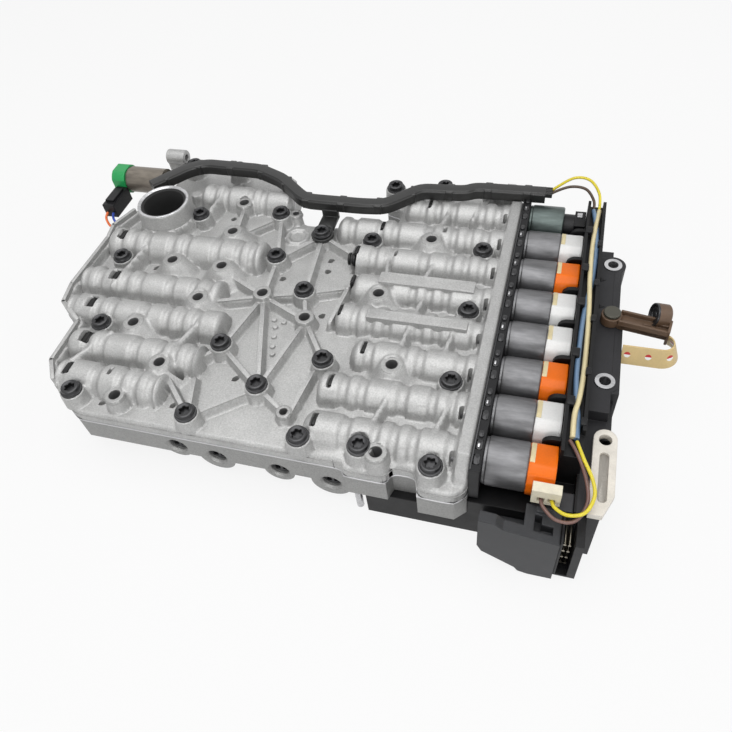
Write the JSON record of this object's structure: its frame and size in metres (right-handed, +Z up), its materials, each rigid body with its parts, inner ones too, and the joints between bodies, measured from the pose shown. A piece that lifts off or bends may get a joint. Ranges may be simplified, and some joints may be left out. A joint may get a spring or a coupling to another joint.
{
  "type": "transmission valve body",
  "caption": "Electro-hydraulic transmission valve body with a die cast deck, solenoid bank, black control module, cable duct and sensor arm.",
  "frame": {"origin": "middle of the cast support land on the underside, in the rest plane", "axes": "+X along the valve bores towards the solenoids, +Y towards the notched back edge, +Z up out of the deck"},
  "size_m": [0.4213, 0.2676, 0.0774],
  "materials": {
    "cast_alloy": "satin die cast skin",
    "plate_steel": "rolled",
    "black_plastic": "moulded satin",
    "grey_plastic": "moulded satin",
    "contact_brass": "plated",
    "ivory_plastic": "moulded satin",
    "spring_steel": "drawn wire",
    "cream_plastic": "moulded",
    "turned_alloy": "turned",
    "clip_steel": "blackened",
    "seal_rubber": "moulded",
    "bolt_black": "phosphated",
    "brown_plastic": "moulded satin",
    "olive_metal": "passivated",
    "beige_film": "laminated film",
    "taupe_metal": "passivated",
    "green_plastic": "moulded",
    "lead_yellow": "extruded",
    "lead_blue": "extruded",
    "can_steel": "drawn",
    "cap_black": "moulded",
    "cap_white": "moulded",
    "cap_orange": "moulded",
    "spool_steel": "ground"
  },
  "bodies": {
    "housing": {"valve_housing": "cast_alloy", "separator_plate": "plate_steel", "channel_housing": "cast_alloy", "module_housing": "black_plastic", "connector_block": "grey_plastic", "connector_shroud": "black_plastic", "contact_pins": "contact_brass", "retainer_strip": "black_plastic", "strip_springs": "spring_steel", "solenoid_can_1": "can_steel", "solenoid_can_2": "can_steel", "solenoid_can_3": "can_steel", "solenoid_can_4": "can_steel", "solenoid_can_5": "can_steel", "solenoid_can_6": "can_steel", "solenoid_can_7": "can_steel", "solenoid_can_8": "can_steel", "solenoid_cap_1": "cap_black", "solenoid_cap_2": "cap_white", "solenoid_cap_3": "cap_orange", "solenoid_cap_4": "cap_white", "solenoid_cap_5": "cap_white", "solenoid_cap_6": "cap_orange", "solenoid_cap_7": "cap_white", "solenoid_cap_8": "cap_orange", "bobbin_tabs": "cream_plastic", "valve_springs": "spring_steel", "bore_plugs": "turned_alloy", "retaining_clips": "clip_steel", "suction_seal": "seal_rubber", "cover_bolts": "bolt_black", "module_sleeves": "turned_alloy", "sensor_pivot": "olive_metal", "sensor_lead": "beige_film", "cable_duct": "black_plastic", "park_solenoid_can": "taupe_metal", "park_solenoid_cap": "green_plastic", "park_plug": "black_plastic", "harness_leads": "lead_yellow", "channel_wires": "lead_blue", "two_pin_plug": "cream_plastic", "channel_plugs": "turned_alloy", "dowel_pin": "plate_steel"},
    "latch": {"latch_slide": "ivory_plastic"},
    "sensor": {"sensor_arm": "brown_plastic", "sensor_pickup": "black_plastic"},
    "pilot_spool_1": {"pilot_spool_1": "spool_steel"},
    "pilot_spool_2": {"pilot_spool_2": "spool_steel"},
    "pilot_spool_3": {"pilot_spool_3": "spool_steel"},
    "pilot_spool_4": {"pilot_spool_4": "spool_steel"},
    "pilot_spool_5": {"pilot_spool_5": "spool_steel"},
    "pilot_spool_6": {"pilot_spool_6": "spool_steel"},
    "pilot_spool_7": {"pilot_spool_7": "spool_steel"},
    "pilot_spool_8": {"pilot_spool_8": "spool_steel"},
    "shift_spool_1": {"shift_spool_1": "spool_steel"},
    "shift_spool_2": {"shift_spool_2": "spool_steel"},
    "shift_spool_3": {"shift_spool_3": "spool_steel"},
    "shift_spool_4": {"shift_spool_4": "spool_steel"},
    "shift_spool_5": {"shift_spool_5": "spool_steel"}
  },
  "joints": [
    {"name": "latch_slide_joint", "type": "slide", "parent": "housing", "child": "latch", "axis": [0, -1, 0], "range_m": [0, 0.01]},
    {"name": "sensor_hinge", "type": "hinge", "parent": "housing", "child": "sensor", "pos_m": [0.1835, 0.02, 0.0533], "axis": [0, 0, 1], "range_deg": [-8, 8], "deforming": ["sensor_lead"]},
    {"name": "pilot_spool_1_slide", "type": "slide", "parent": "housing", "child": "pilot_spool_1", "axis": [-1, 0, 0], "range_m": [0, 0.003], "stiffness_N_per_m": 400, "deforming": ["valve_springs"]},
    {"name": "pilot_spool_2_slide", "type": "slide", "parent": "housing", "child": "pilot_spool_2", "axis": [-1, 0, 0], "range_m": [0, 0.003], "stiffness_N_per_m": 400, "deforming": ["valve_springs"]},
    {"name": "pilot_spool_3_slide", "type": "slide", "parent": "housing", "child": "pilot_spool_3", "axis": [-1, 0, 0], "range_m": [0, 0.003], "stiffness_N_per_m": 400, "deforming": ["valve_springs"]},
    {"name": "pilot_spool_4_slide", "type": "slide", "parent": "housing", "child": "pilot_spool_4", "axis": [-1, 0, 0], "range_m": [0, 0.003], "stiffness_N_per_m": 400, "deforming": ["valve_springs"]},
    {"name": "pilot_spool_5_slide", "type": "slide", "parent": "housing", "child": "pilot_spool_5", "axis": [-1, 0, 0], "range_m": [0, 0.003], "stiffness_N_per_m": 400, "deforming": ["valve_springs"]},
    {"name": "pilot_spool_6_slide", "type": "slide", "parent": "housing", "child": "pilot_spool_6", "axis": [-1, 0, 0], "range_m": [0, 0.003], "stiffness_N_per_m": 400, "deforming": ["valve_springs"]},
    {"name": "pilot_spool_7_slide", "type": "slide", "parent": "housing", "child": "pilot_spool_7", "axis": [-1, 0, 0], "range_m": [0, 0.003], "stiffness_N_per_m": 400, "deforming": ["valve_springs"]},
    {"name": "pilot_spool_8_slide", "type": "slide", "parent": "housing", "child": "pilot_spool_8", "axis": [-1, 0, 0], "range_m": [0, 0.003], "stiffness_N_per_m": 400, "deforming": ["valve_springs"]},
    {"name": "shift_spool_1_slide", "type": "slide", "parent": "housing", "child": "shift_spool_1", "axis": [1, 0, 0], "range_m": [0, 0.003], "stiffness_N_per_m": 400, "deforming": ["valve_springs"]},
    {"name": "shift_spool_2_slide", "type": "slide", "parent": "housing", "child": "shift_spool_2", "axis": [1, 0, 0], "range_m": [0, 0.003], "stiffness_N_per_m": 400, "deforming": ["valve_springs"]},
    {"name": "shift_spool_3_slide", "type": "slide", "parent": "housing", "child": "shift_spool_3", "axis": [1, 0, 0], "range_m": [0, 0.003], "stiffness_N_per_m": 400, "deforming": ["valve_springs"]},
    {"name": "shift_spool_4_slide", "type": "slide", "parent": "housing", "child": "shift_spool_4", "axis": [1, 0, 0], "range_m": [0, 0.003], "stiffness_N_per_m": 400, "deforming": ["valve_springs"]},
    {"name": "shift_spool_5_slide", "type": "slide", "parent": "housing", "child": "shift_spool_5", "axis": [1, 0, 0], "range_m": [0, 0.003], "stiffness_N_per_m": 400, "deforming": ["valve_springs"]}
  ]
}
